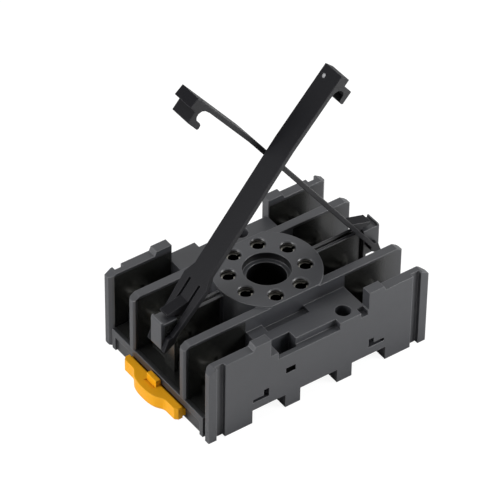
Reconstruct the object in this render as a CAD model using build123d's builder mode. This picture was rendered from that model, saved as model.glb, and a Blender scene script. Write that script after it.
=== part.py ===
"""Eight-pin octal relay socket with two hold-down clips and a rail release slide.

Frame: millimetres, origin on the centre axis of the socket at the plane of its
feet, +X across the width, +Y along the length away from the release slide, +Z up
towards the relay.
"""
from build123d import *
from math import cos, radians, sin
import os

# Outer body
body_length = 59.0
body_width = 40.2
wall_top = 21.0
side_wall = 2.4
part_gap = 0.15

# Rail gap and feet, as distances from the middle of the length
gap_front = 17.87
gap_rear = 18.25
rail_gap_height = 3.72
foot_near = 5.0
foot_far = 9.05

# Vertical grooves near the four corners of the body
end_rib = 2.1
groove_width = 2.2
groove_depth = 1.0
tip_bevel = 1.0

# Partition walls between the terminal bays
partition_wall = 2.1
inner_bay_share = 0.52
centre_wall = 2.2
centre_wall_top = 20.6
centre_groove = 0.8
centre_groove_depth = 0.5
corner_run = 1.65
corner_drop = 1.1
partition_bevel = 0.45

# Raised tabs at the inner ends of the outer walls
tab_length = 4.0
tab_height = 1.1
tab_slope = 0.5

# Label plates beside the boss
plate_top = 17.3
plate_half = 13.2
plate_wall = 1.8
rebate_near = 5.4
rebate_far = 11.1
rebate_depth = 1.8
rebate_floor = 15.4
pocket_near = 5.3
pocket_reach = 4.3
pocket_skin = 1.2
pocket_floor = 10.2
wall_slot = 1.8
wall_slot_floor = 16.0
trench_width = 2.4
trench_near = 2.2
trench_far = 9.0
trench_floor = 16.2

# Plug boss
boss_top = 21.4
boss_radius = 12.5
pin_circle = 8.725
pin_count = 8
pin_hole = 1.7
pin_hole_depth = 0.9
pin_lead_in = 0.3
contact_pocket = 2.3
key_bore = 4.5
key_mouth = 5.5
key_mouth_depth = 2.0
key_well_floor = 5.2
keyway_width = 2.6
keyway_depth = 0.7
keyway_angle = 270.0

# Base moulding
sill_top = 5.6
floor_top = 8.2
pad_reach = 25.0
sill_recess = 0.5
sill_lip = 1.8

# Terminals
terminal_y = 20.5
pad_margin = 0.4
strip_thickness = 0.8
strip_width = 2.4
strip_clearance = 0.2
outer_bend_inset = 1.6
outer_bend_y = 13.0
sleeve_outer = 1.75
sleeve_wall = 0.5
sleeve_slit = 0.8
sleeve_top = 20.3

# Terminal screws and clamp plates
screw_radius = 1.75
screw_length = 6.2
screw_tip = 0.4
screw_head_margin = 0.1
screw_head_height = 2.3
screw_head_round = 0.6
screw_hole_clearance = 0.1
screw_recess_width = 0.9
screw_recess_inset = 2.0
screw_slot_inset = 0.8
screw_recess_depth = 1.2
clamp_wall_gap = 0.48
clamp_thickness = 1.0
clamp_groove = 0.8
clamp_groove_depth = 0.25
screw_well = 2.2
screw_well_depth = 4.4

# Panel mounting holes through the label plates
mount_inset = 3.1
mount_right_y = 8.4
mount_left_y = 5.0
mount_hole = 1.8
mount_boss = 3.4

# Clip posts
post_half = 1.9
post_inner = 25.2
post_stem = 0.8
post_foot = 14.0
post_ridge = 0.6
post_ridge_height = 0.6
post_ridge_slope = 0.2
pivot_y = 27.5
pivot_z = 16.3
pivot_pin = 1.0
pivot_clearance = 0.05
pivot_pin_end = 0.9

# Hold-down clips, measured along the arm from the pivot; leans are (distance, sideways shift)
clip_length = 69.4
clip_width = 5.8
clip_thickness = 1.1
clip_front_tilt = 51.3
clip_rear_tilt = 53.5
clip_front_lean = ((0.0, 0.0), (6.0, 0.0), (69.4, 0.55))
clip_rear_lean = ((0.0, 0.0), (6.0, 0.0), (10.0, -0.4), (14.0, -1.05), (42.0, -5.6), (69.4, -9.1))
clip_bend_at = 50.0
clip_bend_angle = 3.0
leg_clearance = 0.15
leg_thickness = 1.15
leg_hub = 1.15
leg_heel = 3.0
leg_heel_tip = 0.3
fork_half = 4.15
fork_end = 6.3
slot_end = 13.8
slot_width = 0.65
tongue_half = 1.4
shoulder_start = 14.0
shoulder_end = 17.0
foot_inner = 5.75
foot_end_angle = 87.0
foot_end_round = 0.35
foot_root = 9.4
foot_root_angle = 4.0
foot_steps = 12
arm_reach = 17.35
overrun = 1.0
hook_profile = ((0.0, 0.0), (0.0, 2.7), (1.8, 2.7), (2.2, 5.6), (5.4, 5.6), (5.6, 5.2), (5.4, 4.4),
                (4.9, 4.1), (3.6, 4.0), (3.1, 3.5), (2.9, 2.7), (3.2, 1.8), (3.9, 1.3), (5.2, 1.1))
dimple_radius = 0.6
dimple_depth = 0.25
dimple_from_tip = 2.4
dimple_side = 1.5

# Rail release slide
slide_half = 10.2
slide_bottom = 0.7
slide_top = 2.6
slide_clearance = 0.15
slide_travel = 3.0
nose_reach = 1.35
nose_half = 8.2
nose_slope = 1.0
guide_lip = 2.5
bar_half = 10.3
bar_bottom = 0.3
bar_top = 3.5
bar_gap = 0.1
bar_depth = 1.9
bar_round = 0.7
thumb_half = 4.6
thumb_depth = 3.8
thumb_flank = 2.2
thumb_tab_half = 1.8
thumb_tab_depth = 1.2
thumb_tab_top = 5.2
thumb_dip_depth = 0.5
thumb_dip_length = 1.3
spring_window_half = 6.0
spring_window_wall = 1.6
spring_window_length = 7.6
spring_thickness = 0.8
spring_rise = 2.4
spring_bow = 0.8
stop_half = 2.0
stop_depth = 1.2
rail_hook = 1.2
rail_hook_half = 12.0
rail_hook_low = 0.2
rail_hook_top = 2.5

# Snap latches that hold the base in the housing
latch_near = 13.5
latch_leg = 14.9
latch_far = 17.8
latch_low = 5.9
latch_high = 6.8
latch_leg_top = 8.3
latch_nose = 0.9
window_near = 6.45
window_far = 9.05
window_low = 10.0
window_high = 11.6

# Positions that follow from the sizes above
half_length = body_length / 2
half_width = body_width / 2
side_inner = half_width - side_wall
free_width = side_inner - centre_wall / 2 - partition_wall
inner_bay = free_width * inner_bay_share
outer_bay = free_width - inner_bay
partition_inner = centre_wall / 2 + inner_bay
partition_outer = partition_inner + partition_wall
partition_centre = (partition_inner + partition_outer) / 2
terminal_inner = centre_wall / 2 + inner_bay / 2
terminal_outer = partition_outer + outer_bay / 2
clamp_side = outer_bay - 2 * clamp_wall_gap
screw_head_radius = clamp_side / 2 + screw_head_margin
pad_side = clamp_side + pad_margin
outer_bend_x = partition_outer + outer_bend_inset
mount_x = half_width - mount_inset
mount_spots = ((mount_x, mount_right_y), (-mount_x, mount_left_y))
strip_top = floor_top + strip_thickness
housing_floor = strip_top + strip_clearance
clamp_top = strip_top + clamp_thickness
screw_top = clamp_top + screw_head_height
base_half_width = side_inner - part_gap
base_half_length = half_length - part_gap
leg_inner = post_half + leg_clearance
leg_outer = leg_inner + leg_thickness
tab_end = plate_half + tab_length
groove_y = half_length - end_rib - groove_width / 2
pin_step = 360 / pin_count
pin_angles = [radians(pin_step / 2 + pin_step * k) for k in range(pin_count)]
pin_spots = [(pin_circle * cos(a), pin_circle * sin(a)) for a in pin_angles]

os.makedirs("parts", exist_ok=True)

# Upper housing: walls, terminal bays, plug boss and label plates in one moulding
with BuildPart() as housing:
    # Side walls with feet below, raised ends and the lower middle beside the plates
    for side in (-1, 1):
        with BuildSketch(Plane.YZ.offset(side * (side_inner + side_wall / 2))):
            Polygon(
                (-half_length, 0), (-gap_front, 0), (-gap_front, rail_gap_height),
                (-foot_far, rail_gap_height), (-foot_far, 0), (-foot_near, 0), (-foot_near, rail_gap_height),
                (foot_near, rail_gap_height), (foot_near, 0), (foot_far, 0), (foot_far, rail_gap_height),
                (gap_rear, rail_gap_height), (gap_rear, 0), (half_length, 0),
                (half_length, wall_top - corner_drop), (half_length - corner_run, wall_top),
                (tab_end + tab_slope, wall_top), (tab_end, wall_top + tab_height),
                (plate_half, wall_top + tab_height), (plate_half, plate_top),
                (-plate_half, plate_top), (-plate_half, wall_top + tab_height),
                (-tab_end, wall_top + tab_height), (-tab_end - tab_slope, wall_top),
                (-half_length + corner_run, wall_top), (-half_length, wall_top - corner_drop), align=None)
        extrude(amount=side_wall / 2, both=True)
    with Locations(*[(sx * half_width, sy * groove_y, wall_top / 2) for sx in (-1, 1) for sy in (-1, 1)]):
        Box(2 * groove_depth, groove_width, 2 * wall_top, mode=Mode.SUBTRACT)
    tips = housing.edges().filter_by(Axis.Z).filter_by(
        lambda e: abs(abs(e.center().Y) - half_length) < 0.01 and abs(abs(e.center().X) - side_inner) < 0.01)
    chamfer(tips, tip_bevel)
    # Partition walls, lifted over the contact strips in the middle
    for side in (-1, 1):
        with BuildSketch(Plane.YZ.offset(side * partition_centre)):
            Polygon(
                (-half_length, sill_top), (-plate_half, sill_top), (-plate_half, housing_floor),
                (plate_half, housing_floor), (plate_half, sill_top), (half_length, sill_top),
                (half_length, wall_top - corner_drop), (half_length - corner_run, wall_top),
                (-half_length + corner_run, wall_top), (-half_length, wall_top - corner_drop), align=None)
        extrude(amount=partition_wall / 2, both=True)
    ends = housing.edges().filter_by(Axis.Z).filter_by(
        lambda e: abs(abs(e.center().Y) - half_length) < 0.01
        and partition_inner - 0.01 < abs(e.center().X) < partition_outer + 0.01)
    chamfer(ends, partition_bevel)
    # Centre walls and the clip posts at their ends
    for end in (-1, 1):
        wall_mid = end * (key_mouth + post_inner + post_stem) / 2
        wall_length = post_inner + post_stem - key_mouth
        with Locations((0, wall_mid, (housing_floor + centre_wall_top) / 2)):
            Box(centre_wall, wall_length, centre_wall_top - housing_floor)
        bay_length = post_inner + post_stem - plate_half
        with Locations((0, end * (plate_half + bay_length / 2), (sill_top + housing_floor) / 2)):
            Box(centre_wall, bay_length, housing_floor - sill_top)
        with Locations((0, end * (post_inner + post_stem / 2), (sill_top + wall_top) / 2)):
            Box(2 * post_half, post_stem, wall_top - sill_top)
        with BuildSketch(Plane.YZ):
            Polygon(
                (end * post_inner, post_foot), (end * half_length, post_foot), (end * half_length, wall_top),
                (end * (half_length - post_ridge_slope), wall_top + post_ridge_height),
                (end * (half_length - post_ridge), wall_top + post_ridge_height),
                (end * (half_length - post_ridge), wall_top), (end * post_inner, wall_top), align=None)
        extrude(amount=post_half, both=True)
    with Locations(*[Location((0, end * pivot_y, pivot_z), (0, 90, 0)) for end in (-1, 1)]):
        Cylinder(pivot_pin + pivot_clearance, 2 * post_half + part_gap, mode=Mode.SUBTRACT)
    # Boss, trimmed flush with the partition walls
    with BuildSketch(Plane.XY.offset(housing_floor)):
        Circle(boss_radius)
        Rectangle(2 * partition_outer, 2 * boss_radius, mode=Mode.INTERSECT)
    extrude(amount=boss_top - housing_floor)
    # Label plates with their bulkheads, hollow below except for the screw bosses and pockets
    plate_width = side_inner - partition_outer
    plate_mid = (side_inner + partition_outer) / 2
    for side, (hole_x, hole_y) in ((-1, mount_spots[1]), (1, mount_spots[0])):
        with BuildSketch(Plane.XY.offset(housing_floor)):
            with Locations((side * plate_mid, 0)):
                Rectangle(plate_width + part_gap, 2 * plate_half)
        extrude(amount=plate_top - housing_floor)
        with BuildSketch(Plane.XY.offset(housing_floor)):
            with Locations((side * plate_mid, 0)):
                Rectangle(plate_width, 2 * (plate_half - plate_wall))
            with Locations((hole_x, hole_y)):
                Circle(mount_boss, mode=Mode.SUBTRACT)
            with Locations((half_width, -(pocket_near + rebate_far) / 2)):
                Rectangle(2 * pocket_reach + plate_wall, rebate_far - pocket_near + plate_wall,
                          mode=Mode.SUBTRACT)
        extrude(amount=plate_top - plate_wall - housing_floor, mode=Mode.SUBTRACT)
    # Stepped outer edge and trench of each plate
    for side, rebate_end in ((-1, plate_half), (1, rebate_far)):
        rebate_mid = side * (rebate_near - rebate_end) / 2
        with Locations((side * half_width, rebate_mid, (rebate_floor + plate_top) / 2 + part_gap)):
            Box(2 * rebate_depth, rebate_near + rebate_end, plate_top - rebate_floor + 2 * part_gap,
                mode=Mode.SUBTRACT)
        trench_mid = side * (trench_near - trench_far) / 2
        with Locations((side * (partition_outer + trench_width / 2), trench_mid, plate_top)):
            Box(trench_width, trench_near + trench_far, 2 * (plate_top - trench_floor), mode=Mode.SUBTRACT)
    # Deep pocket and narrow slot at the outer edge of the right plate
    pocket_x = half_width - (pocket_reach + pocket_skin) / 2
    with Locations((pocket_x, -(pocket_near + rebate_far) / 2, (pocket_floor + wall_top) / 2)):
        Box(pocket_reach - pocket_skin, rebate_far - pocket_near, wall_top - pocket_floor, mode=Mode.SUBTRACT)
    with Locations((half_width, rebate_far + wall_slot / 2, (wall_slot_floor + wall_top) / 2)):
        Box(2 * rebate_depth, wall_slot, wall_top - wall_slot_floor, mode=Mode.SUBTRACT)
    # Panel screw holes
    with Locations(*[(x, y, plate_top) for x, y in mount_spots]):
        Hole(mount_hole, plate_top)
    # Pin holes over wider contact pockets
    with BuildSketch(Plane.XY.offset(housing_floor)):
        with Locations(*pin_spots):
            Circle(contact_pocket)
    extrude(amount=boss_top - pin_hole_depth - housing_floor, mode=Mode.SUBTRACT)
    with BuildSketch(Plane.XY.offset(boss_top - pin_hole_depth)):
        with Locations(*pin_spots):
            Circle(pin_hole)
    extrude(amount=pin_hole_depth, mode=Mode.SUBTRACT)
    mouths = housing.edges().filter_by(GeomType.CIRCLE).filter_by(
        lambda e: abs(e.radius - pin_hole) < 0.01 and abs(e.center().Z - boss_top) < 0.01)
    chamfer(mouths, pin_lead_in)
    # Key bore with a stepped mouth and its keyway
    with Locations((0, 0, boss_top)):
        CounterBoreHole(key_bore, key_mouth, key_mouth_depth, boss_top)
    with BuildSketch(Plane.XY.offset(housing_floor)):
        with PolarLocations(key_bore, 1, start_angle=keyway_angle):
            Rectangle(2 * keyway_depth, keyway_width)
    extrude(amount=boss_top - key_mouth_depth - housing_floor, mode=Mode.SUBTRACT)
    # Groove along the top of the centre walls
    for end in (-1, 1):
        groove_length = post_inner - boss_radius
        with Locations((0, end * (boss_radius + groove_length / 2), centre_wall_top)):
            Box(centre_groove, groove_length, 2 * centre_groove_depth, mode=Mode.SUBTRACT)
    # Latch slots and windows in the side walls
    for side in (-1, 1):
        wall_x = side * (side_inner + side_wall / 2)
        for end in (-1, 1):
            with Locations((wall_x, end * (latch_far + latch_near) / 2, (latch_low + latch_high) / 2)):
                Box(side_wall, latch_far - latch_near, latch_high - latch_low, mode=Mode.SUBTRACT)
            with Locations((wall_x, end * (latch_near + latch_leg) / 2, (latch_low + latch_leg_top) / 2)):
                Box(side_wall, latch_leg - latch_near, latch_leg_top - latch_low, mode=Mode.SUBTRACT)
        with Locations((wall_x, -side * (window_near + window_far) / 2, (window_low + window_high) / 2)):
            Box(side_wall, window_far - window_near, window_high - window_low, mode=Mode.SUBTRACT)
housing.part.label = "housing"
export_step(housing.part, "parts/housing.step")


# Base moulding: floor of the bays, sills, feet and guideway of the slide
guide_half = slide_half + slide_clearance
guide_bottom = slide_bottom - slide_clearance
guide_top = slide_top + slide_clearance
window_back = -gap_front - spring_window_wall
with BuildPart() as base:
    with BuildSketch(Plane.XY):
        Rectangle(2 * base_half_width, 2 * base_half_length)
    extrude(amount=sill_top)
    # Raised floor under the plug boss and raised pads under the terminals
    outer_pad = base_half_width - terminal_outer + pad_side / 2
    inner_reach = pad_reach - plate_half + 2 * part_gap
    inner_mid = (pad_reach + plate_half) / 2 - part_gap
    with BuildSketch(Plane.XY.offset(sill_top)):
        Rectangle(2 * base_half_width, 2 * (plate_half - part_gap))
        with Locations(*[(sx * terminal_inner, sy * inner_mid) for sx in (-1, 1) for sy in (-1, 1)]):
            Rectangle(pad_side, inner_reach)
        with Locations(*[(sx * (base_half_width - outer_pad / 2), sy * inner_mid)
                         for sx in (-1, 1) for sy in (-1, 1)]):
            Rectangle(outer_pad, inner_reach)
    extrude(amount=floor_top - sill_top)
    # Rail gap, leaving the inner feet beside the side walls
    with BuildSketch(Plane.XY):
        with Locations((0, (gap_rear - gap_front) / 2)):
            Rectangle(2 * half_width, gap_front + gap_rear)
        foot_length = foot_far - foot_near
        with Locations(*[(sx * (base_half_width - side_wall / 2), sy * (foot_near + foot_far) / 2)
                         for sx in (-1, 1) for sy in (-1, 1)]):
            Rectangle(side_wall, foot_length, mode=Mode.SUBTRACT)
    extrude(amount=rail_gap_height, mode=Mode.SUBTRACT)
    # Fixed hook that takes the far edge of the rail
    with BuildSketch(Plane.YZ):
        Polygon(
            (gap_rear, rail_hook_low), (gap_rear - rail_hook / 2, rail_hook_low),
            (gap_rear - rail_hook, rail_hook_low + rail_hook / 2), (gap_rear - rail_hook, rail_hook_top),
            (gap_rear, rail_hook_top), align=None)
    extrude(amount=rail_hook_half, both=True)
    # Guideway of the slide: open in the middle below, closed by two lips at the sides
    guide_length = base_half_length - gap_front
    guide_mid = -(base_half_length + gap_front) / 2
    with Locations((0, guide_mid, (guide_bottom + guide_top) / 2)):
        Box(2 * guide_half, guide_length, guide_top - guide_bottom, mode=Mode.SUBTRACT)
    with Locations((0, guide_mid, guide_top / 2)):
        Box(2 * (guide_half - guide_lip), guide_length, guide_top, mode=Mode.SUBTRACT)
    # Stop for the spring of the slide, hanging from the roof of the guideway
    bow_apex = window_back - spring_rise - spring_thickness / 2
    stop_y = bow_apex - slide_travel - slide_clearance - stop_depth / 2
    with Locations((0, stop_y, (slide_bottom + guide_top) / 2)):
        Box(2 * stop_half, stop_depth, guide_top - slide_bottom)
    # Recess below the lip of each sill
    with Locations(*[(0, end * base_half_length, (sill_top - sill_lip) / 2) for end in (-1, 1)]):
        Box(2 * base_half_width - side_wall, 2 * sill_recess, sill_top - sill_lip, mode=Mode.SUBTRACT)
    # Wells below the terminal screws, well of the key, and the panel screw holes
    with Locations(*[(sx * x, sy * terminal_y, floor_top)
                     for sx in (-1, 1) for sy in (-1, 1) for x in (terminal_inner, terminal_outer)]):
        Hole(screw_well, screw_well_depth)
    with Locations((0, 0, floor_top)):
        Hole(key_bore, floor_top - key_well_floor)
    with Locations(*[(x, y, floor_top) for x, y in mount_spots]):
        Hole(mount_hole, floor_top)
    # Snap noses in the latch slots
    nose_length = latch_far - latch_leg - 2 * part_gap
    nose_height = latch_high - latch_low - 2 * part_gap
    with Locations(*[(sx * (base_half_width + latch_nose / 2), sy * (latch_far + latch_leg) / 2,
                      (latch_low + latch_high) / 2) for sx in (-1, 1) for sy in (-1, 1)]):
        Box(latch_nose + 2 * part_gap, nose_length, nose_height)
base.part.label = "base"
export_step(base.part, "parts/base.step")


# Contact strips, clamp plates and screws of the eight terminals
terminals = []
for sy in (-1, 1):
    for x in (-terminal_outer, -terminal_inner, terminal_inner, terminal_outer):
        terminals.append((x, sy * terminal_y))
for number, (tx, ty) in enumerate(terminals, start=1):
    sx = 1 if tx > 0 else -1
    sy = 1 if ty > 0 else -1
    if abs(tx) == terminal_outer:
        pin = (sx * pin_spots[0][0], sy * pin_spots[0][1])
        bend = (sx * outer_bend_x, sy * outer_bend_y)
    else:
        pin = (sx * pin_spots[1][0], sy * pin_spots[1][1])
        bend = (tx, sy * outer_bend_y)
    # Strip: threaded pad under the screw, neck and slit sleeve for one pin
    with BuildPart() as contact:
        with BuildSketch(Plane.XY.offset(floor_top)):
            with Locations((tx, ty)):
                Rectangle(clamp_side, pad_side)
            with BuildLine():
                Polyline((bend[0], ty), bend, pin)
            trace(line_width=strip_width)
            with Locations(bend):
                Circle(strip_width / 2)
            with Locations(pin):
                Circle(sleeve_outer)
        extrude(amount=strip_thickness)
        with BuildSketch(Plane.XY.offset(strip_top)):
            with Locations(pin):
                Circle(sleeve_outer)
                Circle(sleeve_outer - sleeve_wall, mode=Mode.SUBTRACT)
                Rectangle(sleeve_slit, 3 * sleeve_outer, mode=Mode.SUBTRACT)
        extrude(amount=sleeve_top - strip_top)
        with Locations((tx, ty, strip_top)):
            Hole(screw_radius + screw_hole_clearance, 2 * strip_thickness)
    contact.part.label = f"contact_{number}"
    export_step(contact.part, f"parts/contact_{number}.step")

    # Square clamp plate with two grip grooves on its underside
    with BuildPart() as clamp:
        with Locations((tx, ty, strip_top + clamp_thickness / 2)):
            Box(clamp_side, clamp_side, clamp_thickness)
        with Locations(*[(tx, ty + k * clamp_side / 3, strip_top) for k in (-1, 1)]):
            Box(clamp_side, clamp_groove, 2 * clamp_groove_depth, mode=Mode.SUBTRACT)
        with Locations((tx, ty, clamp_top)):
            Hole(screw_radius + screw_hole_clearance, 2 * clamp_thickness)
    clamp.part.label = f"clamp_plate_{number}"
    export_step(clamp.part, f"parts/clamp_plate_{number}.step")

    # Pan head screw with a slot across a cross recess
    with BuildPart() as screw:
        with BuildSketch(Plane.XY.offset(clamp_top)):
            with Locations((tx, ty)):
                Circle(screw_head_radius)
        extrude(amount=screw_head_height)
        fillet(screw.edges().group_by(Axis.Z)[-1], screw_head_round)
        with BuildSketch(Plane.XY.offset(clamp_top)):
            with Locations((tx, ty)):
                Circle(screw_radius)
        extrude(amount=-screw_length)
        chamfer(screw.edges().group_by(Axis.Z)[0], screw_tip)
        with Locations((tx, ty, screw_top)):
            Box(2 * screw_head_radius - screw_slot_inset, screw_recess_width, 2 * screw_recess_depth,
                mode=Mode.SUBTRACT)
            Box(screw_recess_width, 2 * screw_head_radius - screw_recess_inset, 2 * screw_recess_depth,
                mode=Mode.SUBTRACT)
    screw.part.label = f"terminal_screw_{number}"
    export_step(screw.part, f"parts/terminal_screw_{number}.step")


# Rail release slide: thumb bar outside, sprung plate in the base, nose in the rail gap
bar_back = -half_length - bar_gap
bar_front = -half_length - bar_depth
thumb_front = -half_length - thumb_depth
with BuildPart() as rail_slide:
    with BuildSketch(Plane.XY.offset(slide_bottom)):
        plate_length = bar_gap + half_length - gap_front
        with Locations((0, bar_back + plate_length / 2)):
            Rectangle(2 * slide_half, plate_length)
        with Locations((0, -gap_front + nose_reach / 2)):
            Rectangle(2 * nose_half, nose_reach + 2 * part_gap)
        # Window left open for the moulded spring
        with Locations((0, window_back - spring_window_length / 2)):
            Rectangle(2 * spring_window_half, spring_window_length, mode=Mode.SUBTRACT)
        with BuildLine():
            Spline((-spring_window_half, window_back + part_gap), (0, window_back - spring_rise),
                   (spring_window_half, window_back + part_gap), tangents=((1, -spring_bow), (1, spring_bow)))
        trace(line_width=spring_thickness)
    extrude(amount=slide_top - slide_bottom)
    nose_edge = rail_slide.edges().filter_by(Axis.X).group_by(Axis.Y)[-1].sort_by(Axis.Z)[0]
    chamfer(nose_edge, nose_slope)
    # Thumb bar with a wavy front edge
    with BuildSketch(Plane.XY.offset(bar_bottom)):
        with BuildLine():
            Polyline((-thumb_half - thumb_flank, bar_front), (-bar_half + bar_round, bar_front),
                     (-bar_half, bar_front + bar_round), (-bar_half, bar_back), (bar_half, bar_back),
                     (bar_half, bar_front + bar_round), (bar_half - bar_round, bar_front),
                     (thumb_half + thumb_flank, bar_front))
            Spline((thumb_half + thumb_flank, bar_front), (thumb_half, (bar_front + thumb_front) / 2),
                   (0, thumb_front), (-thumb_half, (bar_front + thumb_front) / 2),
                   (-thumb_half - thumb_flank, bar_front), tangents=((-1, 0), (-1, 0)))
        make_face()
    extrude(amount=bar_top - bar_bottom)
    # Raised thumb tab with a driver dip in front of it
    with Locations((0, bar_back - thumb_tab_depth / 2, (bar_bottom + thumb_tab_top) / 2)):
        Box(2 * thumb_tab_half, thumb_tab_depth, thumb_tab_top - bar_bottom)
    with BuildSketch(Plane.YZ):
        dip_back = bar_back - thumb_tab_depth
        Polygon((dip_back, bar_top + part_gap), (dip_back, bar_top - thumb_dip_depth),
                (dip_back - thumb_dip_length, bar_top + part_gap), align=None)
    extrude(amount=thumb_tab_half, both=True, mode=Mode.SUBTRACT)
rail_slide.part.label = "rail_slide"
export_step(rail_slide.part, "parts/rail_slide.step")


def value_at(table, s):
    """Value at distance s along the arm, from a table of stations."""
    for (s0, x0), (s1, x1) in zip(table, table[1:]):
        if s <= s1:
            return x0 + (x1 - x0) * (s - s0) / (s1 - s0)
    return table[-1][1]


def bent(s, n):
    """Side view point of the arm beyond its bend, as distance and height in the arm's frame."""
    a = radians(clip_bend_angle)
    u = s - clip_bend_at
    return (clip_bend_at + u * cos(a) + n * sin(a), -u * sin(a) + n * cos(a))


def arc_points(radius, start, stop):
    """Points of an arc about the pivot in side view, angles in degrees from the arm."""
    angles = [radians(start + (stop - start) * k / foot_steps) for k in range(foot_steps + 1)]
    return [(radius * cos(a), radius * sin(a)) for a in angles]


# Hold-down clips: forked foot on the post, long blade, hook for the case of the relay
clips = (("front_clip", -1, clip_front_tilt, clip_front_lean),
         ("rear_clip", 1, clip_rear_tilt, clip_rear_lean))
for name, end, tilt, lean in clips:
    pivot = Vector(0, end * pivot_y, pivot_z)
    along = Vector(0, -end * cos(radians(tilt)), sin(radians(tilt)))
    outward = Vector(0, end * sin(radians(tilt)), cos(radians(tilt)))
    side_plane = Plane(origin=pivot, x_dir=along, z_dir=(-end, 0, 0))
    face_plane = Plane(origin=pivot, x_dir=along, z_dir=outward)
    flat = clip_thickness / 2
    blade = clip_width / 2
    # Half width of the arm along its length, and the stations where its outline turns
    half_widths = ((0, leg_outer), (shoulder_start, fork_half), (shoulder_end, blade),
                   (clip_length + overrun, blade))
    stations = sorted({s for s, _ in lean + half_widths})
    right = [(s, end * (value_at(lean, s) + value_at(half_widths, s))) for s in stations]
    left = [(s, end * (value_at(lean, s) - value_at(half_widths, s))) for s in stations]
    slot_stations = [fork_end - part_gap] + [s for s, _ in lean if fork_end < s < slot_end] + [slot_end]
    with BuildPart() as clip:
        # Blade and hook in side view
        with BuildSketch(side_plane):
            head = [bent(clip_length - back, flat - depth) for back, depth in hook_profile]
            Polygon((0, -flat), (clip_bend_at, -flat), *reversed(head), (clip_bend_at, flat), (0, flat),
                    align=None)
        extrude(amount=arm_reach, both=True)
        # Outline of the arm in face view
        with BuildSketch(face_plane.offset(-arm_reach / 2)):
            Polygon(*left, *reversed(right), align=None)
        extrude(amount=arm_reach, mode=Mode.INTERSECT)
        # Fork opening for the post and the two slots beside the tongue
        with BuildSketch(face_plane.offset(-2 * flat)):
            Polygon((-overrun, -leg_inner), (fork_end, -leg_inner), (fork_end, leg_inner),
                    (-overrun, leg_inner), align=None)
            for k in (-1, 1):
                near = [(s, end * value_at(lean, s) + k * tongue_half) for s in slot_stations]
                far = [(s, end * value_at(lean, s) + k * (tongue_half + slot_width)) for s in slot_stations]
                Polygon(*near, *reversed(far), align=None)
        extrude(amount=4 * flat, mode=Mode.SUBTRACT)
        # Leg ends with their pointed heels and trunnion pins
        for k in (-1, 1):
            with BuildSketch(Plane.YZ.offset(k * leg_inner)):
                with Locations((end * pivot_y, pivot_z)):
                    Circle(leg_hub)
            extrude(amount=k * (leg_outer - leg_inner))
            with BuildSketch(side_plane.offset(-end * k * leg_inner)):
                Polygon((0, leg_hub), (-leg_heel, leg_heel_tip), (-leg_heel, -leg_heel_tip), (0, -leg_hub),
                        align=None)
            extrude(amount=-end * k * (leg_outer - leg_inner))
            with BuildSketch(Plane.YZ.offset(k * pivot_pin_end)):
                with Locations((end * pivot_y, pivot_z)):
                    Circle(pivot_pin)
            extrude(amount=k * (leg_outer - pivot_pin_end))
        # Wedge under the tongue, hollowed to clear the post as the clip turns, with a rounded end
        wedge = arc_points(foot_inner, -foot_root_angle, foot_end_angle - tilt)
        wedge_end = arc_points(foot_inner + foot_end_round, -foot_root_angle, foot_end_angle - tilt)[-1]
        wedge_top = arc_points(foot_inner + 2 * foot_end_round, -foot_root_angle, foot_end_angle - tilt)[-1]
        with BuildSketch(side_plane):
            Polygon(*wedge, wedge_top, (foot_root, flat), (foot_root, 0), align=None)
            with Locations(wedge_end):
                Circle(foot_end_round)
        extrude(amount=tongue_half, both=True)
        # Dimple near the tip, on the outer face
        dimple_s, dimple_n = bent(clip_length - dimple_from_tip, flat)
        tip_plane = Plane(origin=pivot + along * dimple_s + outward * dimple_n, x_dir=along, z_dir=outward)
        with BuildSketch(tip_plane.offset(part_gap)):
            with Locations((0, end * (value_at(lean, dimple_s) + end * dimple_side))):
                Circle(dimple_radius)
        extrude(amount=-dimple_depth - part_gap, mode=Mode.SUBTRACT)
    clip.part.label = name
    export_step(clip.part, f"parts/{name}.step")
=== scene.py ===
"""Looks of the octal relay socket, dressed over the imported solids, in metres."""
import math

import bmesh
import bpy
from mathutils import Matrix, Vector


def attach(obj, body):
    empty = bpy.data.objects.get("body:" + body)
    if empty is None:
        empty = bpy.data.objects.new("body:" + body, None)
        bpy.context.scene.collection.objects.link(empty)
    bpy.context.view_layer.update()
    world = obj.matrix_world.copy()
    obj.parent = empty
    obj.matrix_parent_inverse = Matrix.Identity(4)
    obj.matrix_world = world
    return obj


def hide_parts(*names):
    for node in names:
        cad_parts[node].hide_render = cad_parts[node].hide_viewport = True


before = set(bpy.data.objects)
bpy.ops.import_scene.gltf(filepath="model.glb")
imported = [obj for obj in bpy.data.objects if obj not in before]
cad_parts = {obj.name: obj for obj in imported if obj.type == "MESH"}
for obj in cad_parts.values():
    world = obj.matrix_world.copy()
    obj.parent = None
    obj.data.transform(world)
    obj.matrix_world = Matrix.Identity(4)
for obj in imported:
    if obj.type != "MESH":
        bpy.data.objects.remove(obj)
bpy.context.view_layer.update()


# Upper housing. One black moulding in a glass filled plastic, satin on its outer
# faces where the tool was sparked, and polished inside the terminal bays, where
# shade is painted in as a darker colour.
# It carries the clips and closes over the contacts.
MM = 0.001
WELD_GAP = 0.002 * MM
FLAT_WITHIN = math.radians(0.6)
CORNER_FROM = math.radians(28)
# The parts of a finish and the inputs of the shader that take them
FINISHES = {"colour": "Base Color", "roughness": "Roughness", "specular": "Specular IOR Level"}


def node(tree, kind, **settings):
    """Adds a node. Each setting names an input or a choice, and may be another node's output."""
    made = tree.nodes.new(kind)
    for name, value in settings.items():
        label = name.replace("_", " ")
        if isinstance(value, bpy.types.NodeSocket):
            tree.links.new(value, made.inputs[label])
        elif label in made.inputs:
            made.inputs[label].default_value = value
        else:
            setattr(made, name, value)
    return made


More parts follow.
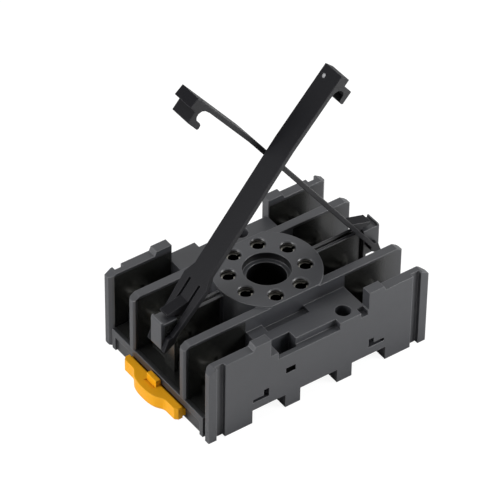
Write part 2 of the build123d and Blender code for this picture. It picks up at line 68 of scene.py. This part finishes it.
def sums(tree, operation, *values, kind="ShaderNodeMath", result="Value"):
    """The result of one sum over numbers or other nodes' outputs."""
    made = node(tree, kind, operation=operation)
    for slot, value in zip(made.inputs, values):
        if isinstance(value, bpy.types.NodeSocket):
            tree.links.new(value, slot)
        else:
            slot.default_value = value
    return made.outputs[result]


def vector_sums(tree, operation, *vectors, result="Vector"):
    """The result of one sum over vectors, itself a vector or, with result Value, a number."""
    return sums(tree, operation, *vectors, kind="ShaderNodeVectorMath", result=result)


def product(tree, share, *others):
    """Several shares multiplied."""
    for other in others:
        share = sums(tree, "MULTIPLY", share, other)
    return share


def mixed(tree, share, first, second):
    """A colour or a number that goes from the first to the second with the share."""
    coloured = isinstance(second, tuple)
    made = node(tree, "ShaderNodeMix", data_type="RGBA" if coloured else "FLOAT")
    pair = made.inputs[6:8] if coloured else made.inputs[2:4]
    tree.links.new(share, made.inputs[0])
    for slot, value in zip(pair, (first, second)):
        if isinstance(value, bpy.types.NodeSocket):
            tree.links.new(value, slot)
        else:
            slot.default_value = (*value, 1) if coloured else value
    return made.outputs[2 if coloured else 0]


def place_on(tree):
    """The place of a point on the socket."""
    return node(tree, "ShaderNodeTexCoord").outputs["Object"]


def axes(tree, vector):
    """The parts of a vector, as outputs X, Y and Z."""
    return node(tree, "ShaderNodeSeparateXYZ", Vector=vector).outputs


def beyond(tree, value, limit, fade=0.1 * MM):
    """Rises from zero where the value is at the limit to one where it is past it by the fade."""
    slope = node(tree, "ShaderNodeMapRange", Value=value, From_Min=limit, From_Max=limit + fade)
    return slope.outputs["Result"]


def within(tree, value, limit, fade=0.1 * MM):
    """Rises from zero where the value is at the limit to one where it is under it by the fade."""
    return beyond(tree, value, limit, -fade)


def shaded(name):
    """A new material, its node tree and its shader."""
    material = bpy.data.materials.new(name)
    material.use_nodes = True
    return material, material.node_tree, material.node_tree.nodes["Principled BSDF"]


def moulded_plastic(name, colour, edge_highlight, matt, gloss, specular, grain=2600.0, depth=0.012 * MM):
    """Moulded plastic: fine spark grain, sheen that drifts from matt to gloss, and a painted highlight that
    colours the edges paler.
    """
    material, tree, shader = shaded(name)
    shader.inputs["Specular IOR Level"].default_value = specular
    place = place_on(tree)
    spark = node(tree, "ShaderNodeTexNoise", Vector=place, Scale=grain, Detail=3.0, Roughness=0.6)
    drift = node(tree, "ShaderNodeTexNoise", Vector=place, Scale=95.0, Detail=4.0, Roughness=0.65)
    cloud = drift.outputs["Fac"]
    # Edges: where the rounded normal leaves the true one
    rounded = node(tree, "ShaderNodeBevel", samples=6, Radius=0.3 * MM).outputs["Normal"]
    flat = node(tree, "ShaderNodeNewGeometry").outputs["Normal"]
    likeness = vector_sums(tree, "DOT_PRODUCT", rounded, flat, result="Value")
    edge = product(tree, sums(tree, "SUBTRACT", 1.0, likeness), 9.0)
    # Painted highlight: the edges are coloured paler, patchy with the cloud noise
    edge_highlight_share = product(tree, sums(tree, "MINIMUM", edge, 1.0), cloud)
    tree.links.new(mixed(tree, edge_highlight_share, colour, edge_highlight), shader.inputs["Base Color"])
    sheen = node(tree, "ShaderNodeMapRange", Value=cloud, From_Min=0.3, From_Max=0.62,
                 To_Min=gloss, To_Max=matt)
    tree.links.new(sheen.outputs["Result"], shader.inputs["Roughness"])
    bump = node(tree, "ShaderNodeBump", Strength=0.55, Distance=depth, Height=spark.outputs["Fac"],
                Normal=rounded)
    tree.links.new(bump.outputs["Normal"], shader.inputs["Normal"])
    return material


def deepen(material, share, **finish):
    """Changes a material to another colour, roughness or specular level where the share is one."""
    tree = material.node_tree
    for name, value in finish.items():
        slot = tree.nodes["Principled BSDF"].inputs[FINISHES[name]]
        before = slot.links[0].from_socket if slot.is_linked else slot.default_value
        tree.links.new(mixed(tree, share, before, value), slot)


def shade_and_polish_bays(material, side, back, mouth, top, **finish):
    """Paints shade into the terminal bays as a darker colour and polishes them, from the label plate out to
    the mouth and between the side walls; both fade in over a short way at the front mouth and a long way at
    the rear one.
    """
    tree = material.node_tree
    parts = axes(tree, place_on(tree))
    share = product(tree,
                    within(tree, sums(tree, "ABSOLUTE", parts["X"]), side),
                    beyond(tree, sums(tree, "ABSOLUTE", parts["Y"]), back, fade=0.3 * MM),
                    beyond(tree, parts["Y"], -mouth, fade=1.2 * MM),
                    within(tree, parts["Y"], mouth, fade=6.0 * MM),
                    within(tree, parts["Z"], top, fade=0.8 * MM))
    deepen(material, share, **finish)


def shade_holes(material, boss, half_width, ledge, face, **finish):
    """Darkens the key bore and the pin holes below the face of the boss, but not the ledge of the bore."""
    tree = material.node_tree
    place = place_on(tree)
    parts = axes(tree, place)
    level = vector_sums(tree, "MULTIPLY", place, (1, 1, 0))
    off_ledge = sums(tree, "ABSOLUTE", sums(tree, "SUBTRACT", parts["Z"], ledge))
    share = product(tree,
                    within(tree, vector_sums(tree, "LENGTH", level, result="Value"), boss),
                    within(tree, sums(tree, "ABSOLUTE", parts["X"]), half_width),
                    beyond(tree, off_ledge, 0.12 * MM, fade=0.18 * MM),
                    within(tree, parts["Z"], face, fade=0.25 * MM))
    deepen(material, share, **finish)


def shade_windows(material, middle, half_size, **finish):
    """Darkens the depth of the four latch windows, behind the outer faces of the side walls."""
    tree = material.node_tree
    folded = vector_sums(tree, "ABSOLUTE", place_on(tree))
    away = vector_sums(tree, "ABSOLUTE", vector_sums(tree, "SUBTRACT", folded, middle))
    inside = [within(tree, part, half) for part, half in zip(axes(tree, away), half_size)]
    deepen(material, product(tree, *inside), **finish)


def settled(piece):
    """Turns a piece and its modifiers into one plain mesh."""
    graph = bpy.context.evaluated_depsgraph_get()
    piece.data = bpy.data.meshes.new_from_object(piece.evaluated_get(graph), depsgraph=graph)
    piece.modifiers.clear()
    return piece


def softened(object_name, body, material, radius):
    """A copy of a CAD node with its edges rounded as they leave the tool, in its place."""
    shape = bmesh.new()
    shape.from_mesh(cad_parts[object_name].data)
    bmesh.ops.remove_doubles(shape, verts=shape.verts, dist=WELD_GAP)
    bmesh.ops.dissolve_limit(shape, angle_limit=FLAT_WITHIN, verts=shape.verts, edges=shape.edges)
    for face in shape.faces:
        face.smooth = True
    mesh = bpy.data.meshes.new(f"{object_name}_rounded")
    shape.to_mesh(mesh)
    shape.free()
    made = bpy.data.objects.new(f"{object_name}_rounded", mesh)
    bpy.context.scene.collection.objects.link(made)
    rounding = made.modifiers.new("rounding", "BEVEL")
    rounding.limit_method = "ANGLE"
    rounding.angle_limit = CORNER_FROM
    rounding.width = radius
    rounding.segments = 2
    rounding.use_clamp_overlap = True
    evened = made.modifiers.new("evened", "WEIGHTED_NORMAL")
    evened.mode = "FACE_AREA"
    evened.weight = 100
    settled(made)
    made.data.materials.clear()
    made.data.materials.append(material)
    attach(made, body)
    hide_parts(object_name)
    return made


housing_black = moulded_plastic("housing_black", colour=(0.026, 0.027, 0.031), edge_highlight=(0.11, 0.112, 0.118),
                                matt=0.46, gloss=0.36, specular=0.55)
# Painted shade: the bays are coloured darker, and also made glossier
shade_and_polish_bays(housing_black, side=18.15 * MM, back=13.2 * MM, mouth=29.4 * MM, top=20.9 * MM,
            colour=(0.008, 0.0082, 0.0077), roughness=0.24)
shade_holes(housing_black, boss=12.3 * MM, half_width=10.6 * MM, ledge=19.4 * MM, face=21.3 * MM,
            colour=(0.004, 0.004, 0.0045), roughness=0.28)
shade_windows(housing_black, middle=(17.0 * MM, 7.75 * MM, 10.8 * MM),
              half_size=(2.95 * MM, 1.4 * MM, 0.9 * MM),
              colour=(0.002, 0.002, 0.002), roughness=0.5, specular=0.05)
softened("housing", "socket", housing_black, radius=0.16 * MM)


# Base. The same black plastic in a second moulding: bay floors, sills, feet and
# the guideway of the slide. Its latches snap into the side walls of the housing.
base_black = moulded_plastic("base_black", colour=(0.02, 0.021, 0.024), edge_highlight=(0.09, 0.091, 0.096),
                             matt=0.44, gloss=0.34, specular=0.5)
# Painted shade: the bay floors are coloured darker, and also made glossier
shade_and_polish_bays(base_black, side=17.55 * MM, back=13.2 * MM, mouth=29.35 * MM, top=20.9 * MM,
            colour=(0.008, 0.0082, 0.0078), roughness=0.26)
softened("base", "socket", base_black, radius=0.12 * MM)


# Contacts. Strips stamped from brass sheet and tin plated, with the sleeve for the
# pin rolled up at one end and a threaded pad at the other.
TERMINALS = range(1, 9)


def metal(name, colour, tarnished, roughness, marks, stretch=(1.0, 1.0, 1.0)):
    """Plated metal with faint marks, drawn out along one direction, and uneven tarnish."""
    material, tree, shader = shaded(name)
    shader.inputs["Metallic"].default_value = 1.0
    place = place_on(tree)
    drawn = node(tree, "ShaderNodeMapping", Vector=place, Scale=stretch).outputs["Vector"]
    rubs = node(tree, "ShaderNodeTexNoise", Vector=drawn, Scale=marks, Detail=5.0, Roughness=0.6)
    tarnish = node(tree, "ShaderNodeTexNoise", Vector=place, Scale=420.0, Detail=3.0).outputs["Fac"]
    tree.links.new(mixed(tree, tarnish, tarnished, colour), shader.inputs["Base Color"])
    sheen = node(tree, "ShaderNodeMapRange", Value=rubs.outputs["Fac"],
                 To_Min=roughness * 0.75, To_Max=roughness * 1.3)
    tree.links.new(sheen.outputs["Result"], shader.inputs["Roughness"])
    bump = node(tree, "ShaderNodeBump", Strength=0.4, Distance=0.01 * MM, Height=rubs.outputs["Fac"])
    tree.links.new(bump.outputs["Normal"], shader.inputs["Normal"])
    return material


def shade_sleeves(material, mouth, foot, **finish):
    """Paints shade into the depth of the sleeves as a darker colour, between their mouths and the strip
    below.
    """
    tree = material.node_tree
    height = axes(tree, place_on(tree))["Z"]
    share = product(tree,
                    within(tree, height, mouth, fade=0.25 * MM),
                    beyond(tree, height, foot, fade=2.0 * MM))
    deepen(material, share, **finish)


def dress(object_name, material):
    """Gives a CAD node its one material."""
    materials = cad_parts[object_name].data.materials
    materials.clear()
    materials.append(material)


strip_tin = metal("strip_tin", colour=(0.5, 0.49, 0.45), tarnished=(0.36, 0.34, 0.29), roughness=0.3,
                  marks=2400.0, stretch=(1.0, 0.15, 1.0))
# Painted shade: the sleeves are coloured darker below their mouths
shade_sleeves(strip_tin, mouth=20.25 * MM, foot=10.0 * MM, colour=(0.1, 0.1, 0.1), roughness=0.2)
for number in TERMINALS:
    dress(f"contact_{number}", strip_tin)


# Clamp plates. Square washers punched from steel and zinc plated, with two grip
# grooves below, loose on the shank of each terminal screw.
plate_zinc = metal("plate_zinc", colour=(0.3, 0.3, 0.28), tarnished=(0.17, 0.17, 0.15), roughness=0.36,
                   marks=1800.0, stretch=(1.0, 0.2, 1.0))
for number in TERMINALS:
    dress(f"clamp_plate_{number}", plate_zinc)


# Terminal screws. Pan heads with a slot across a cross recess, rolled from steel
# wire with a coarse thread and zinc plated. Each holds its clamp plate on its strip.
SCREW_COLUMNS = (4.87 * MM, 14.22 * MM)
SCREW_ROW = 20.5 * MM
SCREW_SEAT = 10.0 * MM
SCREW_SPOTS = [(side * column, end * SCREW_ROW, SCREW_SEAT)
               for side in (-1, 1) for end in (-1, 1) for column in SCREW_COLUMNS]
HEAD_RADIUS = 3.1 * MM
HEAD_HEIGHT = 2.3 * MM
HEAD_ROUND = 0.6 * MM
HEAD_STEPS = 6
SHANK_RADIUS = 1.75 * MM
SHANK_LENGTH = 6.2 * MM
SHANK_TIP = 0.4 * MM
THREAD_START = 0.5 * MM
WHOLE_LENGTH = HEAD_HEIGHT + SHANK_LENGTH
SCREW_SIZES = {"Head Radius": HEAD_RADIUS, "Head Height": HEAD_HEIGHT, "Shank Length": SHANK_LENGTH,
               "Thread Pitch": 0.7 * MM, "Thread Depth": 0.3 * MM, "Thread Start": THREAD_START,
               "Thread End": SHANK_LENGTH - SHANK_TIP, "Recess Width": 0.9 * MM, "Recess Depth": 1.2 * MM,
               "Slot Length": 5.4 * MM, "Cross Length": 4.2 * MM}
CROSS_SHARE = 0.8
POINTS_ROUND = 37
STEPS_A_RUN = 8
SHARP_FROM = math.radians(35)


def screw_outline():
    """Half outline of the screw from the crown of the head to the tip, as (radius, height)."""
    outline = [(0.0, HEAD_HEIGHT)]
    for step in range(HEAD_STEPS + 1):
        turn = math.pi / 2 * (1 - step / HEAD_STEPS)
        outline.append((HEAD_RADIUS - HEAD_ROUND + HEAD_ROUND * math.cos(turn),
                        HEAD_HEIGHT - HEAD_ROUND + HEAD_ROUND * math.sin(turn)))
    return outline + [(HEAD_RADIUS, 0.0), (SHANK_RADIUS, 0.0), (SHANK_RADIUS, -THREAD_START),
                      (SHANK_RADIUS, SHANK_TIP - SHANK_LENGTH), (SHANK_RADIUS - SHANK_TIP, -SHANK_LENGTH),
                      (0.0, -SHANK_LENGTH)]


def profile_curve(tree, along, values):
    """A curve of straight runs through values of 0 to 1, one at each even step along the outline."""
    made = node(tree, "ShaderNodeFloatCurve", Value=along)
    points = made.mapping.curves[0].points
    last = len(values) - 1
    for number, value in enumerate(values):
        if number in (0, last):
            point = points[-1 if number else 0]
            point.location = (number / last, value)
        else:
            point = points.new(number / last, value)
        point.handle_type = "VECTOR"
    made.mapping.update()
    return made.outputs[0]


def screw_tree():
    """Node tree: turns the outline, cuts thread and recess, and sets one screw on each point."""
    tree = bpy.data.node_groups.new("terminal_screws", "GeometryNodeTree")
    tree.is_modifier = True
    face = tree.interface
    face.new_socket("Geometry", in_out="INPUT", socket_type="NodeSocketGeometry")
    for name in SCREW_SIZES:
        face.new_socket(name, in_out="INPUT", socket_type="NodeSocketFloat")
    face.new_socket("Material", in_out="INPUT", socket_type="NodeSocketMaterial")
    face.new_socket("Geometry", in_out="OUTPUT", socket_type="NodeSocketGeometry")
    given = tree.nodes.new("NodeGroupInput").outputs
    # A flat sheet whose X runs round the screw and whose Y runs down its outline
    outline = screw_outline()
    points_down = (len(outline) - 1) * STEPS_A_RUN + 1
    sheet = node(tree, "GeometryNodeMeshGrid", Size_X=1.0, Size_Y=1.0,
                 Vertices_X=POINTS_ROUND, Vertices_Y=points_down)
    spot = axes(tree, node(tree, "GeometryNodeInputPosition").outputs[0])
    around = sums(tree, "ADD", spot["X"], 0.5)
    down = sums(tree, "SUBTRACT", 0.5, spot["Y"])
    reach = profile_curve(tree, down, [radius / HEAD_RADIUS for radius, _ in outline])
    rise = profile_curve(tree, down, [(height + SHANK_LENGTH) / WHOLE_LENGTH for _, height in outline])
    whole = sums(tree, "ADD", given["Head Height"], given["Shank Length"])
    height = sums(tree, "SUBTRACT", product(tree, rise, whole), given["Shank Length"])
    # Thread: a groove that climbs one pitch a turn, between its start and its end
    turns = sums(tree, "ADD", sums(tree, "DIVIDE", height, given["Thread Pitch"]), around)
    wave = product(tree, sums(tree, "PINGPONG", turns, 0.5), 2.0)
    past_start = sums(tree, "LESS_THAN", height, product(tree, given["Thread Start"], -1.0))
    before_end = sums(tree, "GREATER_THAN", height, product(tree, given["Thread End"], -1.0))
    groove = product(tree, wave, given["Thread Depth"], past_start, before_end)
    radius = sums(tree, "SUBTRACT", product(tree, reach, given["Head Radius"]), groove)
    angle = product(tree, around, math.tau)
    place = node(tree, "ShaderNodeCombineXYZ", X=product(tree, radius, sums(tree, "COSINE", angle)),
                 Y=product(tree, radius, sums(tree, "SINE", angle)), Z=height)
    turned = node(tree, "GeometryNodeSetPosition", Geometry=sheet.outputs["Mesh"], Position=place.outputs[0])
    closed = node(tree, "GeometryNodeMergeByDistance", Geometry=turned.outputs[0], Distance=2 * WELD_GAP)
    # Slot and cross recess: each cutter stands half out of the crown, so it is twice as tall as it cuts
    solid = closed.outputs[0]
    crown = node(tree, "ShaderNodeCombineXYZ", Z=given["Head Height"])
    for across, along, share in (("Slot Length", "Recess Width", 1.0),
                                 ("Recess Width", "Cross Length", CROSS_SHARE)):
        tall = product(tree, given["Recess Depth"], 2 * share)
        size = node(tree, "ShaderNodeCombineXYZ", X=given[across], Y=given[along], Z=tall)
        block = node(tree, "GeometryNodeMeshCube", Size=size.outputs[0])
        cutter = node(tree, "GeometryNodeTransform", Geometry=block.outputs["Mesh"],
                      Translation=crown.outputs[0])
        cut = node(tree, "GeometryNodeMeshBoolean", operation="DIFFERENCE", Mesh_1=solid,
                   Mesh_2=cutter.outputs[0])
        solid = cut.outputs["Mesh"]
    # Smooth shading with sharp edges at the corners
    corner = node(tree, "GeometryNodeInputMeshEdgeAngle").outputs["Unsigned Angle"]
    soft = node(tree, "GeometryNodeSetShadeSmooth", Geometry=solid, Shade_Smooth=True)
    edged = node(tree, "GeometryNodeSetShadeSmooth", domain="EDGE", Geometry=soft.outputs[0],
                 Selection=sums(tree, "GREATER_THAN", corner, SHARP_FROM), Shade_Smooth=False)
    row = node(tree, "GeometryNodeInstanceOnPoints", Points=given["Geometry"], Instance=edged.outputs[0])
    real = node(tree, "GeometryNodeRealizeInstances", Geometry=row.outputs[0])
    plated = node(tree, "GeometryNodeSetMaterial", Geometry=real.outputs[0], Material=given["Material"])
    tree.links.new(plated.outputs[0], tree.nodes.new("NodeGroupOutput").inputs[0])
    return tree


def made_on_points(name, points, tree, inputs):
    """Runs a node tree on a set of points and returns its result as a plain piece."""
    dots = bpy.data.meshes.new(name)
    dots.from_pydata(points, [], [])
    piece = bpy.data.objects.new(name, dots)
    bpy.context.scene.collection.objects.link(piece)
    nodes = piece.modifiers.new(name, "NODES")
    nodes.node_group = tree
    for socket in tree.interface.items_tree:
        if socket.in_out == "INPUT" and socket.name in inputs:
            nodes[socket.identifier] = inputs[socket.name]
    return settled(piece)


screw_zinc = metal("screw_zinc", colour=(0.38, 0.38, 0.36), tarnished=(0.23, 0.23, 0.205), roughness=0.3,
                   marks=3200.0)
screws = made_on_points("terminal_screws", SCREW_SPOTS, screw_tree(), {**SCREW_SIZES, "Material": screw_zinc})
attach(screws, "socket")
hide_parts(*[f"terminal_screw_{number}" for number in TERMINALS])


# Rail release slide. One yellow moulding, its spring in one piece with it, that hooks
# under the rail. It is pulled with the thumb, or with a driver behind its tab.
slide_yellow = moulded_plastic("slide_yellow", colour=(0.66, 0.3, 0.006), edge_highlight=(0.72, 0.37, 0.02),
                               matt=0.46, gloss=0.36, specular=0.14, grain=1800.0, depth=0.008 * MM)
softened("rail_slide", "slide", slide_yellow, radius=0.35 * MM)


# Hold-down clips. Tough black plastic, each with a forked foot on its post and a
# hook at the tip. The broad faces are deep black, the narrow side faces carry a
# painted highlight, and a painted glint sits on the ejector pin mark near each tip.
FRONT_GLINT = (-0.97 * MM, 14.66 * MM, 68.38 * MM)
REAR_GLINT = (-7.29 * MM, -12.63 * MM, 69.96 * MM)


def highlight_sides(material, **finish):
    """Gives the faces that look sideways a painted highlight: a paler colour and a higher specular level."""
    tree = material.node_tree
    facing = axes(tree, node(tree, "ShaderNodeTexCoord").outputs["Normal"])["X"]
    deepen(material, beyond(tree, sums(tree, "ABSOLUTE", facing), 0.5, fade=0.35), **finish)


def pin_mark_glint(material, centre, radius, **finish):
    """Paints a round glint, a painted highlight, on the spot where an ejector pin pushed the moulding out."""
    tree = material.node_tree
    away = vector_sums(tree, "DISTANCE", place_on(tree), centre, result="Value")
    deepen(material, within(tree, away, radius, fade=0.2 * radius), **finish)


clip_black = moulded_plastic("clip_black", colour=(0.0035, 0.0035, 0.0048), edge_highlight=(0.05, 0.05, 0.056),
                             matt=0.5, gloss=0.4, specular=0.09, grain=3000.0, depth=0.01 * MM)
# Painted highlight on the narrow side faces of the clips
highlight_sides(clip_black, colour=(0.01, 0.01, 0.0115), roughness=0.42, specular=0.28)
# Painted highlight: a pale round glint at each ejector pin mark
for centre in (FRONT_GLINT, REAR_GLINT):
    pin_mark_glint(clip_black, centre, radius=0.62 * MM, colour=(0.3, 0.3, 0.31), roughness=0.3)
softened("front_clip", "front_arm", clip_black, radius=0.14 * MM)
softened("rear_clip", "rear_arm", clip_black, radius=0.14 * MM)


# Floor. A plain sheet of white paper on which the socket stands. It looks evenly
# bright and still takes the soft shadow of the feet.
FLOOR_HALF = 1.5


def white_paper(colour, glow, share):
    """Matt white paper. The camera alone sees the share of it as an even glow."""
    paper = bpy.data.materials.new("floor_white")
    paper.use_nodes = True
    tree = paper.node_tree
    tree.nodes.clear()
    seen = product(tree, node(tree, "ShaderNodeLightPath").outputs["Is Camera Ray"], share)
    matt = node(tree, "ShaderNodeBsdfDiffuse", Color=(*colour, 1))
    bright = node(tree, "ShaderNodeEmission", Color=(1, 1, 1, 1), Strength=glow)
    both = node(tree, "ShaderNodeMixShader")
    for slot, output in zip(both.inputs, (seen, matt.outputs[0], bright.outputs[0])):
        tree.links.new(output, slot)
    node(tree, "ShaderNodeOutputMaterial", Surface=both.outputs[0])
    return paper


corners = [(-FLOOR_HALF, -FLOOR_HALF, 0), (FLOOR_HALF, -FLOOR_HALF, 0),
           (FLOOR_HALF, FLOOR_HALF, 0), (-FLOOR_HALF, FLOOR_HALF, 0)]
sheet = bpy.data.meshes.new("floor")
sheet.from_pydata(corners, [], [(0, 1, 2, 3)])
sheet.materials.append(white_paper(colour=(0.95, 0.95, 0.95), glow=1.12, share=0.82))
floor = bpy.data.objects.new("floor", sheet)
bpy.context.scene.collection.objects.link(floor)


# Studio. A white surround and three soft square panels: a large one low in front on
# the left, a small one behind on the right, and a large one overhead.
SOCKET_MIDDLE = Vector((0, 0, 20 * MM))
SURROUND_LIGHT = 0.15


def soft_panel(name, spot, size, power):
    """A soft square panel that faces the socket."""
    lamp = bpy.data.lights.new(name, "AREA")
    lamp.shape = "SQUARE"
    lamp.size = size
    lamp.energy = power
    panel = bpy.data.objects.new(name, lamp)
    panel.location = spot
    panel.rotation_euler = (SOCKET_MIDDLE - Vector(spot)).to_track_quat("-Z", "Y").to_euler()
    bpy.context.scene.collection.objects.link(panel)


soft_panel("key_panel", spot=(-0.14, -0.6, 0.2), size=0.3, power=4.2)
soft_panel("side_panel", spot=(0.22, 0.24, 0.12), size=0.14, power=1.3)
soft_panel("top_panel", spot=(-0.1, -0.05, 0.7), size=0.3, power=1.8)

world = bpy.data.worlds.new("studio")
bpy.context.scene.world = world
world.use_nodes = True
tree = world.node_tree
surround = tree.nodes["Background"]
surround.inputs["Color"].default_value = (1, 1, 1, 1)
ray = node(tree, "ShaderNodeLightPath").outputs
mirrored = sums(tree, "MAXIMUM", ray["Is Glossy Ray"], ray["Is Transmission Ray"])
direct = sums(tree, "MAXIMUM", ray["Is Camera Ray"], mirrored)
level = node(tree, "ShaderNodeMapRange", Value=direct, To_Min=SURROUND_LIGHT, To_Max=1.0)
tree.links.new(level.outputs["Result"], surround.inputs["Strength"])


# Camera. A long lens from the front right corner, above the socket, a touch rolled.
# It looks past a point inside the body, by a few pixels of the picture.
AZIMUTH = math.radians(53.6491)
ELEVATION = math.radians(41.9034)
ROLL = math.radians(1.1257)
DISTANCE = 0.82865
AIM_POINT = Vector((0, 0, 13 * MM))
AIM_PX = (-16.24, 47.06)
FOCAL_PX = 3744.45
PHOTO_WIDTH_PX = 500
back = Vector((math.sin(AZIMUTH) * math.cos(ELEVATION), -math.cos(AZIMUTH) * math.cos(ELEVATION),
               math.sin(ELEVATION)))
level_right = Vector((math.cos(AZIMUTH), math.sin(AZIMUTH), 0))
level_up = back.cross(level_right)
right = level_right * math.cos(ROLL) + level_up * math.sin(ROLL)
up = level_up * math.cos(ROLL) - level_right * math.sin(ROLL)
sight = (-back + right * AIM_PX[0] / FOCAL_PX + up * AIM_PX[1] / FOCAL_PX).normalized()
right = (right - sight * right.dot(sight)).normalized()
up = right.cross(sight)
lens = bpy.data.cameras.new("camera")
lens.sensor_width = 36.0
lens.lens = FOCAL_PX / PHOTO_WIDTH_PX * lens.sensor_width
lens.clip_start = 10 * MM
camera = bpy.data.objects.new("camera", lens)
spot = AIM_POINT + back * DISTANCE
camera.matrix_world = Matrix((
    (right.x, up.x, -sight.x, spot.x), (right.y, up.y, -sight.y, spot.y),
    (right.z, up.z, -sight.z, spot.z), (0, 0, 0, 1)))
bpy.context.scene.collection.objects.link(camera)
bpy.context.scene.camera = camera
bpy.context.scene.view_settings.view_transform = "Standard"
